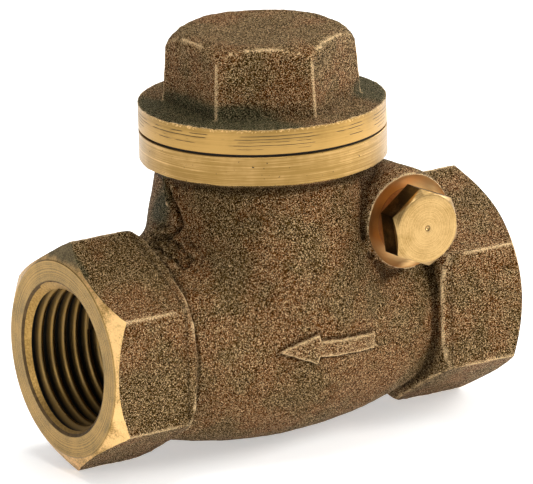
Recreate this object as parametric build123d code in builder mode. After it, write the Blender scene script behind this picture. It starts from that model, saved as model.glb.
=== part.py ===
from build123d import *
from math import acos, cos, degrees, radians, sin, sqrt, tan
import os

# Bronze swing check valve for half inch pipe, with screwed hexagon ends, a screwed cap
# and a disc that hangs on a cross pin and closes on a seat cut at a slant in the casting.
# All sizes are in millimetres. The origin is the centre of the outlet mouth. X runs along
# the pipe axis to the inlet, so the flow goes towards -X. Z runs up through the cap, and
# the hinge plug is on the -Y side.

# Casting, lengthwise
face_to_face = 65.0
end_hex_af = 27.6
outlet_hex_length = 12.6
inlet_hex_length = 13.4
end_face_setback = 0.5
end_chamfer_angle = 35.0
shoulder_round = 1.8
shoulder_overhang = 0.1
shoulder_arc_radius = 2.4

# Pipe ports, plain bores at the thread's minor diameter
port_radius = 9.3155
port_depth = 12.5
port_mouth_width = 1.2845
port_mouth_angle = 60.0
passage_radius = 7.9
inlet_passage_length = 1.5

# Belly and neck of the casting
bowl_radius = 16.9
bowl_centre_z = 1.2
barrel_setback = 1.1
barrel_arc_radius = 64.0
barrel_peak_shift = -1.3
neck_shoulder = 2.35
neck_straight = 2.23
collar_overhang = 2.15
collar_above_hinge = 8.4
collar_height = 3.95
collar_edge_round = 0.5
wall = 3.1
crotch_round = 3.5
collar_drop = 0.9
neck_thread_wall = 1.95
neck_thread_depth = 0.4
neck_thread_runout = 0.3

# Raised flow arrow on the belly, its corners given along X and Z
arrow_height = 0.5
arrow_tip = (24.3, 0.1)
arrow_upper_barb = (29.9, 2.0)
arrow_lower_barb = (29.7, -2.1)
arrow_upper_neck = (30.1, 0.95)
arrow_lower_neck = (30.0, -1.2)
arrow_upper_tail = (39.2, 0.35)
arrow_lower_tail = (39.1, -1.85)

# Hinge housing, pin and plug
hinge_inset = 1.45
hinge_z = 14.5
housing_front_radius = 7.1
housing_middle_radius = 6.4
housing_back_radius = 6.2
housing_front_setback = 1.4
housing_back_setback = 0.25
housing_back_round = 2.5
spot_face_setback = 0.8
spot_face_depth = 0.4
hinge_pocket_gap = 1.0
hinge_pocket_side_gap = 0.6
arm_slot_width = 11.0
arm_slot_depth = 8.0
arm_slot_clearance = 1.0
pin_radius = 1.75
pin_seat_clearance = 0.02
pin_end_wall = 2.7
plug_shank_radius = 3.9
plug_shank_length = 5.1
plug_hole_extra = 0.4
plug_tip_chamfer = 0.5
plug_hex_af = 9.5
plug_head_height = 3.8
plug_head_turn = 36.5
plug_chamfer_height = 0.7
plug_face_setback = 0.15
plug_centre_radius = 0.45
plug_washer_width = 0.8
plug_washer_thickness = 1.1
pin_end_play = 0.1
pin_chamfer = 0.3
thread_clearance = 0.05

# Cap and gasket
gasket_thickness = 0.3
gasket_setback = 0.4
cap_flange_thickness = 3.4
cap_flange_edge = 0.5
cap_flange_ledge = 5.05
cap_hex_height = 9.75
cap_hex_draft = 4.0
cap_hex_corner_round = 1.2
cap_top_overhang = 1.6
cap_top_round = 3.75
cap_foot_round = 1.1
cap_skirt_gap = 0.8
cap_skirt_chamfer = 0.6
cap_skirt_wall = 2.5
cap_hollow_step = 1.6
cap_crown_thickness = 3.8
cap_hollow_round = 3.0

# Seat and swinging disc, measured along the slanted seat axis from the hinge pin
seat_slant = 20.0
hinge_to_disc = 15.2
seat_below_pin = 4.6
seat_bore_radius = 6.9
seat_bore_overlap = 0.86
seat_lip_radius = 8.5
seat_lip_height = 1.0
disc_pocket_depth = 2.0
disc_clearance = 1.1
seat_gap = 0.05
disc_radius = 9.2
disc_plate_thickness = 1.35
disc_rim_depth = 0.8
disc_rim_width = 1.0
disc_edge_round = 0.5
stud_boss_radius = 3.6
stud_radius = 2.0
stud_beyond_pin = 1.0
stud_chamfer = 0.3
stud_running_clearance = 0.1
seat_disc_thickness = 1.4
seat_disc_edge_gap = 0.05
lower_stud_radius = 1.5
retainer_radius = 4.4
retainer_thickness = 0.7
lower_nut_af = 5.5
lower_nut_thickness = 1.9
lower_stud_reach = 0.45
arm_thickness = 2.0
arm_ring_radius = 4.4
arm_eye_width = 12.8
arm_eye_radius = 3.2
arm_root_width = 9.0
arm_root_depth = 2.0
eye_running_clearance = 0.05
arm_rib_width = 1.8
arm_rib_height = 1.5
arm_rib_length = 10.0
upper_washer_radius = 4.0
upper_washer_thickness = 0.6
upper_nut_af = 7.0
upper_nut_thickness = 2.2
nut_chamfer_angle = 30.0
split_pin_radius = 0.4
split_pin_leg_radius = 0.26
split_pin_overhang = 0.4
split_pin_leg = 1.5
split_pin_eye_radius = 0.75
split_pin_above_nut = 0.6

# Places worked out from the sizes above
centre_x = face_to_face / 2
end_face_radius = end_hex_af / 2 - end_face_setback
shoulder_radius = end_hex_af / 2 + shoulder_overhang
port_mouth_radius = port_radius + port_mouth_width
barrel_radius = bowl_radius - barrel_setback
neck_radius = bowl_radius - neck_shoulder
collar_radius = neck_radius + collar_overhang
cap_flange_radius = collar_radius
gasket_radius = collar_radius - gasket_setback
cap_thread_radius = neck_radius - neck_thread_wall
neck_bore_radius = cap_thread_radius - neck_thread_depth
cap_skirt_bore = cap_thread_radius - cap_skirt_wall
cap_hollow_radius = cap_skirt_bore - cap_hollow_step
cap_hex_af = 2 * (cap_flange_radius - cap_flange_ledge)
cap_top_flat_radius = cap_hex_af / 2 + cap_top_overhang - cap_top_round
collar_bottom_z = hinge_z + collar_above_hinge
collar_top_z = collar_bottom_z + collar_height
cap_skirt_bottom_z = hinge_z + arm_eye_radius + cap_skirt_gap
neck_thread_bottom_z = cap_skirt_bottom_z - neck_thread_runout
housing_front_y = housing_front_setback - collar_radius
housing_back_y = neck_radius - housing_back_setback
pin_hole_end_y = housing_back_y - pin_end_wall
spot_face_radius = housing_front_radius - spot_face_setback
hinge_pocket_radius = arm_eye_radius + hinge_pocket_gap
hinge_pocket_width = arm_eye_width + 2 * hinge_pocket_side_gap
plug_face_radius = plug_hex_af / 2 - plug_face_setback
plug_washer_radius = plug_shank_radius + plug_washer_width
seat_disc_radius = disc_radius - disc_rim_width
split_pin_shank = 2 * (stud_radius + split_pin_overhang)
hinge_x = centre_x + neck_radius - hinge_inset
barrel_peak_x = centre_x + barrel_peak_shift
barrel_start = outlet_hex_length / 2
barrel_end = face_to_face - inlet_hex_length / 2
slant = radians(seat_slant)
hinge_point = Vector(hinge_x, 0, hinge_z)
seat_out = Vector(-cos(slant), 0, sin(slant))
seat_down = Vector(-sin(slant), 0, -cos(slant))
disc_point = hinge_point + seat_down * hinge_to_disc
disc_plane = Plane(origin=disc_point, x_dir=(0, 1, 0), z_dir=seat_out)
seat_edge = disc_point - seat_out * seat_below_pin + seat_down * seat_bore_radius
inlet_passage_x = face_to_face - port_depth - inlet_passage_length
seat_bore_reach = inlet_passage_x + seat_bore_overlap - seat_edge.X
port_mouth_depth = (port_mouth_radius - port_radius) / tan(radians(port_mouth_angle))
neck_top_z = collar_bottom_z + collar_edge_round
neck_arc_top = neck_top_z - neck_straight
neck_run = neck_arc_top - bowl_centre_z
neck_arc_radius = (neck_run**2 + neck_shoulder**2) / (2 * neck_shoulder)
neck_arc_middle_z = bowl_centre_z + neck_run / 2
neck_arc_middle_drop = neck_arc_radius - sqrt(neck_arc_radius**2 - (neck_run / 2) ** 2)
chamber_radius = bowl_radius - wall
neck_bore_bottom_z = bowl_centre_z + sqrt(chamber_radius**2 - neck_bore_radius**2)
chamber_arc_angle = degrees(acos(neck_bore_radius / chamber_radius))
spot_face_y = housing_front_y + spot_face_depth
plug_hole_depth = plug_shank_length + plug_hole_extra
disc_axis = Axis(disc_point, seat_out)
arm_plane = Plane(origin=hinge_point, x_dir=(0, 1, 0), z_dir=seat_out)
disc_section = Plane(origin=disc_point, x_dir=seat_down, z_dir=(0, 1, 0))
arm_section = Plane(origin=hinge_point, x_dir=seat_down, z_dir=(0, 1, 0))
pin_section = Plane(origin=hinge_point, x_dir=(0, 1, 0), z_dir=(0, 0, 1))
hinge_axis = Axis(hinge_point, (0, 1, 0))
cap_axis = Axis((centre_x, 0, 0), (0, 0, 1))
upright = Plane(origin=(centre_x, 0, 0), x_dir=(0, 1, 0), z_dir=(1, 0, 0))


def hexagon_corner(across_flats):
    """The radius to a hexagon's corners."""
    return across_flats / sqrt(3)


def barrel_height(x):
    """The barrel's radius at x, on one long arc from hexagon to hexagon."""
    arc_drop = barrel_arc_radius - sqrt(barrel_arc_radius**2 - (x - barrel_peak_x) ** 2)
    return barrel_radius - arc_drop


def side_plane(y):
    """The plane square to the hinge axis at a given y, its own x along X and y along Z."""
    return Plane(origin=(hinge_x, y, hinge_z), x_dir=(1, 0, 0), z_dir=(0, -1, 0))


def hexagon_end(length):
    """One cast hexagon end with its mouth on the YZ plane, turned at the mouth."""
    corner_radius = hexagon_corner(end_hex_af)
    setback = (corner_radius - end_face_radius) * tan(radians(end_chamfer_angle))
    with BuildPart() as end:
        with BuildSketch(Plane.YZ):
            RegularPolygon(radius=end_hex_af / 2, side_count=6, major_radius=False, rotation=30)
        extrude(amount=length)
        with BuildSketch(Plane.XZ):
            with BuildLine():
                Line((0, 0), (0, end_face_radius))
                Line((0, end_face_radius), (setback, corner_radius))
                Line((setback, corner_radius), (length - shoulder_round, corner_radius))
                RadiusArc(
                    (length - shoulder_round, corner_radius),
                    (length, shoulder_radius),
                    shoulder_arc_radius,
                )
                Line((length, shoulder_radius), (length, 0))
                Line((length, 0), (0, 0))
            make_face()
        revolve(axis=Axis.X, mode=Mode.INTERSECT)
    return end.part


def belly(growth):
    """The barrel and the bowl with its neck, swollen outwards by growth."""
    bowl = bowl_radius + growth
    neck = neck_radius + growth
    with BuildPart() as shape:
        with BuildSketch(Plane.XZ):
            with BuildLine():
                Line((barrel_end, 0), (barrel_start, 0))
                Line((barrel_start, 0), (barrel_start, barrel_height(barrel_start) + growth))
                ThreePointArc(
                    (barrel_start, barrel_height(barrel_start) + growth),
                    (barrel_peak_x, barrel_radius + growth),
                    (barrel_end, barrel_height(barrel_end) + growth),
                )
                Line((barrel_end, barrel_height(barrel_end) + growth), (barrel_end, 0))
            make_face()
        revolve(axis=Axis.X)
        with BuildSketch(upright):
            with BuildLine():
                CenterArc((0, bowl_centre_z), bowl, -90, 90)
                ThreePointArc(
                    (bowl, bowl_centre_z),
                    (bowl - neck_arc_middle_drop, neck_arc_middle_z),
                    (neck, neck_arc_top),
                )
                Polyline(
                    (neck, neck_arc_top), (neck, neck_top_z), (0, neck_top_z), (0, bowl_centre_z - bowl)
                )
            make_face()
        revolve(axis=cap_axis)
    return shape.part


outlet_end = hexagon_end(outlet_hex_length)
inlet_end = hexagon_end(inlet_hex_length)

# The core: chamber under the cap, passages, slanted seat, and the room for the disc hanger
with BuildPart() as core:
    with BuildSketch(upright):
        with BuildLine():
            Line((0, bowl_centre_z - chamber_radius), (0, collar_top_z))
            Polyline(
                (0, collar_top_z),
                (cap_thread_radius, collar_top_z),
                (cap_thread_radius, neck_thread_bottom_z),
                (neck_bore_radius, neck_thread_bottom_z),
                (neck_bore_radius, neck_bore_bottom_z),
            )
            CenterArc((0, bowl_centre_z), chamber_radius, -90, 90 + chamber_arc_angle)
        make_face()
    revolve(axis=cap_axis)

    # Outlet passage into the bowl
    with BuildSketch(Plane.YZ.offset(port_depth)):
        Circle(passage_radius)
    extrude(amount=centre_x - port_depth)

    # Pocket for the disc, with the seat lip left standing on its floor
    with BuildSketch(disc_plane.offset(-seat_below_pin - seat_lip_height)):
        Circle(disc_radius + disc_clearance)
    extrude(amount=seat_below_pin + seat_lip_height + disc_pocket_depth)
    with BuildSketch(disc_plane.offset(-seat_below_pin - seat_lip_height)):
        Circle(seat_lip_radius)
    extrude(amount=seat_lip_height, mode=Mode.SUBTRACT)

    # Pocket for the hinge eye and the slot that the arm swings through
    with BuildSketch(side_plane(-hinge_pocket_width / 2)):
        Circle(hinge_pocket_radius)
    extrude(amount=-hinge_pocket_width)
    with BuildSketch(arm_plane.offset(-arm_thickness / 2 - arm_slot_clearance)):
        with Locations((0, (hinge_to_disc - disc_radius) / 2)):
            Rectangle(arm_slot_width, hinge_to_disc - disc_radius)
    extrude(amount=arm_slot_depth)

    # Short inlet passage, and the seat bore that opens into it
    with BuildSketch(Plane.YZ.offset(face_to_face - port_depth)):
        Circle(passage_radius)
    extrude(amount=-inlet_passage_length)
    with BuildSketch(disc_plane.offset(-seat_below_pin)):
        Circle(seat_bore_radius)
    extrude(amount=seat_bore_reach, dir=(1, 0, 0))

# The flow arrow stands out from the belly by the same height all over
with BuildPart() as arrow:
    add(belly(arrow_height))
    with BuildSketch(Plane.XZ):
        with BuildLine():
            Polyline(
                arrow_tip,
                arrow_upper_barb,
                arrow_upper_neck,
                arrow_upper_tail,
                arrow_lower_tail,
                arrow_lower_neck,
                arrow_lower_barb,
                close=True,
            )
        make_face()
    extrude(amount=bowl_radius + 2 * arrow_height, mode=Mode.INTERSECT)

# The casting: belly, arrow, hinge housing, hexagon ends and collar, then the waterway
with BuildPart() as body:
    add(belly(0))
    fillet(body.edges().filter_by(GeomType.BSPLINE), crotch_round)
    add(arrow.part)

    with BuildSketch(pin_section):
        with BuildLine():
            Line((housing_front_y, 0), (housing_front_y, housing_front_radius))
            ThreePointArc(
                (housing_front_y, housing_front_radius),
                (0, housing_middle_radius),
                (housing_back_y - housing_back_round, housing_back_radius),
            )
            RadiusArc(
                (housing_back_y - housing_back_round, housing_back_radius),
                (housing_back_y, housing_back_radius - housing_back_round),
                housing_back_round,
            )
            Line((housing_back_y, housing_back_radius - housing_back_round), (housing_back_y, 0))
            Line((housing_back_y, 0), (housing_front_y, 0))
        make_face()
    revolve(axis=hinge_axis)
    add(outlet_end)
    with Locations(Location((face_to_face, 0, 0), (0, 0, 180))):
        add(inlet_end)

    # Turned collar under the cap
    with BuildSketch(upright):
        with BuildLine():
            Polyline(
                (0, collar_bottom_z - collar_drop),
                (neck_radius, collar_bottom_z - collar_drop),
                (collar_radius - collar_edge_round, collar_bottom_z),
                (collar_radius, collar_bottom_z + collar_edge_round),
                (collar_radius, collar_top_z),
                (0, collar_top_z),
                close=True,
            )
        make_face()
    revolve(axis=cap_axis)

    # Screwed ports with their mouths
    for mouth_x, inward in ((0, 1), (face_to_face, -1)):
        with BuildSketch(Plane(origin=(mouth_x, 0, 0), x_dir=(0, 1, 0), z_dir=(inward, 0, 0))):
            Circle(port_radius)
        extrude(amount=port_depth, mode=Mode.SUBTRACT)
        with BuildSketch(Plane(origin=(mouth_x, 0, 0), x_dir=(0, 1, 0), z_dir=(inward, 0, 0))):
            Circle(port_mouth_radius)
        extrude(amount=port_mouth_depth, taper=port_mouth_angle, mode=Mode.SUBTRACT)

    add(core.part, mode=Mode.SUBTRACT)

    # Pin hole, plug hole and the spot face round it
    with BuildSketch(side_plane(housing_front_y)):
        Circle(spot_face_radius)
    extrude(amount=-spot_face_depth, mode=Mode.SUBTRACT)
    with BuildSketch(side_plane(spot_face_y)):
        Circle(plug_shank_radius)
    extrude(amount=-plug_hole_depth, mode=Mode.SUBTRACT)
    with BuildSketch(side_plane(spot_face_y)):
        Circle(pin_radius + pin_seat_clearance)
    extrude(amount=-(pin_hole_end_y - spot_face_y), mode=Mode.SUBTRACT)

body.part.label = "body"

# Screwed cap: turned flange, tapered hollow hexagon, and the skirt that carries the thread
cap_seat_z = collar_top_z + gasket_thickness
cap_flange_top_z = cap_seat_z + cap_flange_thickness
cap_top_z = cap_flange_top_z + cap_hex_height
cap_hex_corner = hexagon_corner(cap_hex_af)
with BuildPart() as cap:
    with BuildSketch(Plane(origin=(centre_x, 0, cap_flange_top_z))):
        RegularPolygon(radius=cap_hex_af / 2, side_count=6, major_radius=False, rotation=30)
    extrude(amount=cap_hex_height, taper=cap_hex_draft)
    fillet(cap.edges() - cap.faces().filter_by(Axis.Z).edges(), cap_hex_corner_round)
    with BuildSketch(upright):
        with BuildLine():
            Line((0, cap_flange_top_z), (0, cap_top_z))
            Line((0, cap_top_z), (cap_top_flat_radius, cap_top_z))
            CenterArc((cap_top_flat_radius, cap_top_z - cap_top_round), cap_top_round, 0, 90)
            Polyline(
                (cap_top_flat_radius + cap_top_round, cap_top_z - cap_top_round),
                (cap_hex_corner, cap_flange_top_z),
                (0, cap_flange_top_z),
            )
        make_face()
    revolve(axis=cap_axis, mode=Mode.INTERSECT)
    with BuildSketch(Plane(origin=(centre_x, 0, cap_seat_z))):
        Circle(cap_flange_radius)
    extrude(amount=cap_flange_thickness)
    flange_bottom, flange_top = cap.faces().filter_by(Axis.Z).sort_by(Axis.Z)[:2]
    chamfer(flange_bottom.edges() + flange_top.outer_wire().edges(), cap_flange_edge)
    flange_top = cap.faces().filter_by(Axis.Z).sort_by(Axis.Z)[1]
    fillet(flange_top.inner_wires()[0].edges(), cap_foot_round)
    with BuildSketch(Plane(origin=(centre_x, 0, cap_skirt_bottom_z))):
        Circle(cap_thread_radius - thread_clearance)
    extrude(amount=cap_seat_z - cap_skirt_bottom_z)
    chamfer(cap.faces().sort_by(Axis.Z)[0].edges(), cap_skirt_chamfer)
    with BuildSketch(upright):
        with BuildLine():
            hollow_top_z = cap_top_z - cap_crown_thickness
            Polyline(
                (0, cap_skirt_bottom_z),
                (cap_skirt_bore, cap_skirt_bottom_z),
                (cap_skirt_bore, cap_seat_z),
                (cap_hollow_radius, cap_flange_top_z),
                (cap_hollow_radius, hollow_top_z),
                (0, hollow_top_z),
                close=True,
            )
        make_face()
        top_corner = vertices().group_by(Axis.Y)[-1].sort_by(Axis.X)[-1]
        fillet(top_corner, cap_hollow_round)
    revolve(axis=cap_axis, mode=Mode.SUBTRACT)
cap.part.label = "cap"

with BuildPart() as gasket:
    with BuildSketch(Plane(origin=(centre_x, 0, collar_top_z))):
        Circle(gasket_radius)
        Circle(cap_thread_radius, mode=Mode.SUBTRACT)
    extrude(amount=gasket_thickness)
gasket.part.label = "cap_gasket"

# Hinge pin, plug and sealing washer on the hinge axis
plug_tip_y = spot_face_y + plug_shank_length
plug_seat_y = spot_face_y - plug_washer_thickness
plug_face_y = plug_seat_y - plug_head_height
plug_hex_corner = hexagon_corner(plug_hex_af)
with BuildPart() as hinge_pin:
    with BuildSketch(side_plane(pin_hole_end_y - pin_end_play)):
        Circle(pin_radius)
    extrude(amount=pin_hole_end_y - plug_tip_y - 2 * pin_end_play)
    chamfer(hinge_pin.edges().filter_by(GeomType.CIRCLE), pin_chamfer)
hinge_pin.part.label = "hinge_pin"

with BuildPart() as plug_washer:
    with BuildSketch(side_plane(spot_face_y)):
        Circle(plug_washer_radius)
        Circle(plug_shank_radius, mode=Mode.SUBTRACT)
    extrude(amount=plug_washer_thickness)
plug_washer.part.label = "plug_washer"

with BuildPart() as hinge_plug:
    with BuildSketch(side_plane(plug_seat_y)):
        RegularPolygon(
            radius=plug_hex_af / 2, side_count=6, major_radius=False, rotation=plug_head_turn
        )
    extrude(amount=plug_head_height)
    with BuildSketch(pin_section):
        with BuildLine():
            Polyline(
                (plug_seat_y, 0),
                (plug_seat_y, plug_hex_corner),
                (plug_face_y + plug_chamfer_height, plug_hex_corner),
                (plug_face_y, plug_face_radius),
                (plug_face_y, 0),
                close=True,
            )
        make_face()
    revolve(axis=hinge_axis, mode=Mode.INTERSECT)
    with BuildSketch(side_plane(plug_seat_y)):
        Circle(plug_shank_radius - thread_clearance)
    extrude(amount=-(plug_washer_thickness + plug_shank_length))
    chamfer(hinge_plug.faces().sort_by(Axis.Y)[-1].edges(), plug_tip_chamfer)
    with BuildSketch(pin_section):
        with BuildLine():
            Polyline(
                (plug_face_y, 0),
                (plug_face_y, plug_centre_radius),
                (plug_face_y + plug_centre_radius, 0),
                close=True,
            )
        make_face()
    revolve(axis=hinge_axis, mode=Mode.SUBTRACT)
hinge_plug.part.label = "hinge_plug"

# Disc hanger: an eye on the pin, and a ribbed arm that ends in a ring round the stud
with BuildPart() as hanger:
    with BuildSketch(arm_plane.offset(-arm_thickness / 2)):
        with Locations((0, arm_root_depth / 2)):
            Rectangle(arm_root_width, arm_root_depth)
        with Locations((0, hinge_to_disc)):
            Circle(arm_ring_radius)
        make_hull()
    extrude(amount=arm_thickness)
    with BuildSketch(arm_section):
        Polygon(
            (0, 0),
            (arm_rib_length, 0),
            (arm_rib_length, arm_thickness / 2),
            (arm_eye_radius, arm_thickness / 2 + arm_rib_height),
            (0, arm_thickness / 2 + arm_rib_height),
            align=None,
        )
    extrude(amount=arm_rib_width / 2, both=True)
    with BuildSketch(side_plane(arm_eye_width / 2)):
        Circle(arm_eye_radius)
    extrude(amount=arm_eye_width)
    with BuildSketch(side_plane(arm_eye_width / 2)):
        Circle(pin_radius + eye_running_clearance)
    extrude(amount=arm_eye_width, mode=Mode.SUBTRACT)
    with BuildSketch(disc_plane.offset(-arm_thickness / 2)):
        Circle(stud_radius + stud_running_clearance)
    extrude(amount=arm_thickness, mode=Mode.SUBTRACT)
hanger.part.label = "disc_hanger"

# Disc holder: a dished plate with a stud each way, its heights measured from the pin
seat_disc_face = seat_gap - seat_below_pin
seat_disc_back = seat_disc_face + seat_disc_thickness
plate_back = seat_disc_back + disc_plate_thickness
boss_top = -arm_thickness / 2 - stud_running_clearance
washer_seat = arm_thickness / 2 + stud_running_clearance
retainer_bottom = seat_disc_face - retainer_thickness
lower_nut_bottom = retainer_bottom - lower_nut_thickness
split_pin_height = washer_seat + upper_washer_thickness + upper_nut_thickness + split_pin_above_nut
stud_top = split_pin_height + stud_beyond_pin
with BuildPart() as disc_holder:
    with BuildSketch(disc_section):
        with BuildLine():
            Polyline(
                (0, lower_nut_bottom - lower_stud_reach),
                (lower_stud_radius, lower_nut_bottom - lower_stud_reach),
                (lower_stud_radius, seat_disc_back),
                (seat_disc_radius + seat_disc_edge_gap, seat_disc_back),
                (seat_disc_radius + seat_disc_edge_gap, seat_disc_back - disc_rim_depth),
                (disc_radius, seat_disc_back - disc_rim_depth),
                (disc_radius, plate_back - disc_edge_round),
                (disc_radius - disc_edge_round, plate_back),
                (stud_boss_radius, plate_back),
                (stud_boss_radius, boss_top),
                (stud_radius, boss_top),
                (stud_radius, stud_top - stud_chamfer),
                (stud_radius - stud_chamfer, stud_top),
                (0, stud_top),
                close=True,
            )
        make_face()
    revolve(axis=disc_axis)
    with BuildSketch(disc_section):
        with Locations((0, split_pin_height)):
            Circle(split_pin_radius + thread_clearance)
    extrude(amount=stud_radius, both=True, mode=Mode.SUBTRACT)
disc_holder.part.label = "disc_holder"


def ring(outer_radius, hole_radius, bottom, thickness):
    """A flat ring on the disc axis, its heights measured from the pin."""
    with BuildPart() as washer:
        with BuildSketch(disc_plane.offset(bottom)):
            Circle(outer_radius)
            Circle(hole_radius, mode=Mode.SUBTRACT)
        extrude(amount=thickness)
    return washer


def hexagon_nut(across_flats, hole_radius, bottom, thickness):
    """A chamfered hexagon nut on the disc axis, its heights measured from the pin."""
    corner = hexagon_corner(across_flats)
    bevel = (corner - across_flats / 2) * tan(radians(nut_chamfer_angle))
    with BuildPart() as nut:
        with BuildSketch(disc_plane.offset(bottom)):
            RegularPolygon(radius=across_flats / 2, side_count=6, major_radius=False)
        extrude(amount=thickness)
        with BuildSketch(disc_section):
            with BuildLine():
                Polyline(
                    (hole_radius, bottom),
                    (across_flats / 2, bottom),
                    (corner, bottom + bevel),
                    (corner, bottom + thickness - bevel),
                    (across_flats / 2, bottom + thickness),
                    (hole_radius, bottom + thickness),
                    close=True,
                )
            make_face()
        revolve(axis=disc_axis, mode=Mode.INTERSECT)
    return nut


seat_disc = ring(
    seat_disc_radius, lower_stud_radius + thread_clearance, seat_disc_face, seat_disc_thickness
)
seat_disc.part.label = "seat_disc"
retainer = ring(
    retainer_radius, lower_stud_radius + thread_clearance, retainer_bottom, retainer_thickness
)
retainer.part.label = "seat_disc_washer"
lower_nut = hexagon_nut(
    lower_nut_af, lower_stud_radius + thread_clearance, lower_nut_bottom, lower_nut_thickness
)
lower_nut.part.label = "seat_disc_nut"
upper_washer = ring(
    upper_washer_radius, stud_radius + thread_clearance, washer_seat, upper_washer_thickness
)
upper_washer.part.label = "hanger_washer"
upper_nut = hexagon_nut(
    upper_nut_af,
    stud_radius + thread_clearance,
    washer_seat + upper_washer_thickness,
    upper_nut_thickness,
)
upper_nut.part.label = "hanger_nut"

# Split pin through the stud above the nut, its legs spread on the far side
pin_hole = Plane(
    origin=disc_point + seat_out * split_pin_height, x_dir=seat_down, z_dir=(0, 1, 0)
)
with BuildPart() as split_pin:
    with BuildSketch(pin_hole):
        Circle(split_pin_radius)
    extrude(amount=split_pin_shank / 2, both=True)
    for side in (1, -1):
        leg_start = pin_hole.offset(split_pin_shank / 2 - split_pin_radius).origin
        leg_way = Vector(0, 1, 0) + seat_down * side
        with BuildSketch(Plane(origin=leg_start, z_dir=leg_way)):
            Circle(split_pin_leg_radius)
        extrude(amount=split_pin_leg)
    eye_centre = pin_hole.offset(-split_pin_shank / 2 - split_pin_eye_radius).origin
    with BuildSketch(Plane(origin=eye_centre, x_dir=(0, 1, 0), z_dir=seat_out)):
        Circle(split_pin_eye_radius + split_pin_leg_radius)
        Circle(split_pin_eye_radius - split_pin_leg_radius, mode=Mode.SUBTRACT)
    extrude(amount=split_pin_leg_radius, both=True)
split_pin.part.label = "split_pin"

os.makedirs("parts", exist_ok=True)
pieces = (
    body,
    cap,
    gasket,
    hinge_pin,
    plug_washer,
    hinge_plug,
    hanger,
    disc_holder,
    seat_disc,
    retainer,
    lower_nut,
    upper_washer,
    upper_nut,
    split_pin,
)
for piece in pieces:
    export_step(piece.part, f"parts/{piece.part.label}.step")
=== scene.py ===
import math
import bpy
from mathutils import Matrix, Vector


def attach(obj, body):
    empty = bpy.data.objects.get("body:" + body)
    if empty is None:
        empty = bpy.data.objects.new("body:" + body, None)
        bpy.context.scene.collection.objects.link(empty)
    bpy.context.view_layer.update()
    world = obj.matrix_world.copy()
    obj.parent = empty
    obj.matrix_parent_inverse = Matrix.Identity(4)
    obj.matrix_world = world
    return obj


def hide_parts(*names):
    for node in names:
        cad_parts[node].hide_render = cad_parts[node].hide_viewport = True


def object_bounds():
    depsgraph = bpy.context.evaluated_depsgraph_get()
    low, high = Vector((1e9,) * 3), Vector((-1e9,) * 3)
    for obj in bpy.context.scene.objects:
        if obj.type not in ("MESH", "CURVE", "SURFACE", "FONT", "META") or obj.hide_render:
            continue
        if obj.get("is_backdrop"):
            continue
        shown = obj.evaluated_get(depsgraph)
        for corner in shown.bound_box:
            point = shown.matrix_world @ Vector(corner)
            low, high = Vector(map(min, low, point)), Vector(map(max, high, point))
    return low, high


bl_info = {
    "name": "Bronze swing check valve",
    "version": (1, 0, 0),
    "blender": (4, 5, 0),
    "location": "3D View > Sidebar > Valve",
    "description": "Builds the sand cast, turned and threaded surfaces of a small swing check valve",
    "category": "Object",
}

import bmesh
import bpy
import numpy as np
from bpy.props import FloatProperty, FloatVectorProperty, PointerProperty
from mathutils import Matrix, Vector, kdtree, noise

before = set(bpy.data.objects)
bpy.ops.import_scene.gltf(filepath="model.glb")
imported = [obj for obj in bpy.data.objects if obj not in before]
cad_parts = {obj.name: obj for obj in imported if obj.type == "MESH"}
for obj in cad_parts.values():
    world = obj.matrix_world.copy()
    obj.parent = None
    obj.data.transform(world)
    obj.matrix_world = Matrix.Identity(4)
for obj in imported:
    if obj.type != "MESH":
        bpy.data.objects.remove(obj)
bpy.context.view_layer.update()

MM = 0.001


# Places, in millimetres in the row's frame
def axes_at(point, along, across=(0, 1, 0)):
    """The matrix with its origin at a point, its Z along one direction and its X nearest another."""
    z = Vector(along).normalized()
    x = Vector(across)
    x = (x - z * x.dot(z)).normalized()
    place = Matrix((x, z.cross(x), z)).transposed().to_4x4()
    place.translation = Vector(point)
    return place


SEAT_SLANT = math.radians(20)
SEAT_OUT = Vector((-math.cos(SEAT_SLANT), 0, math.sin(SEAT_SLANT)))
SEAT_DOWN = Vector((-math.sin(SEAT_SLANT), 0, -math.cos(SEAT_SLANT)))
HINGE_POINT = Vector((45.6, 0, 14.5))
HINGE_TO_DISC = 15.2
DISC_POINT = HINGE_POINT + SEAT_DOWN * HINGE_TO_DISC
PIPE = axes_at((0, 0, 0), (1, 0, 0))
NECK = axes_at((32.5, 0, 0), (0, 0, 1))
PIN = axes_at(HINGE_POINT, (0, 1, 0), (1, 0, 0))
DISC = axes_at(DISC_POINT, SEAT_OUT)
PIPE_UPRIGHT = axes_at((0, 0, 0), (1, 0, 0), (0, 0, 1))

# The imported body's round forms, in millimetres
BOWL_Z = 1.2
BOWL_RADIUS = 16.9
NECK_ARC = 86.0
BARREL_RADIUS = 15.8
BARREL_ARC = 64
BARREL_WIDEST_X = 31.2

# The step between a turned face and its rim, and the gasket's thickness
EDGE_BREAK = 0.08
GASKET = 0.3


# Sizes and colours that a user may change
def length(name, default, description):
    """A length property in metres, given in millimetres."""
    return FloatProperty(
        name=name, default=default * MM, description=description, unit="LENGTH", precision=5
    )


def colour(name, default, description):
    """A colour property, given as screen values from 0 to 255."""
    return FloatVectorProperty(
        name=name,
        default=[linear(level / 255) for level in default],
        description=description,
        subtype="COLOR",
        size=3,
        min=0,
        max=1,
    )


def linear(level):
    """A screen level from 0 to 1 as scene light."""
    return level / 12.92 if level <= 0.04045 else ((level + 0.055) / 1.055) ** 2.4


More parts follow.
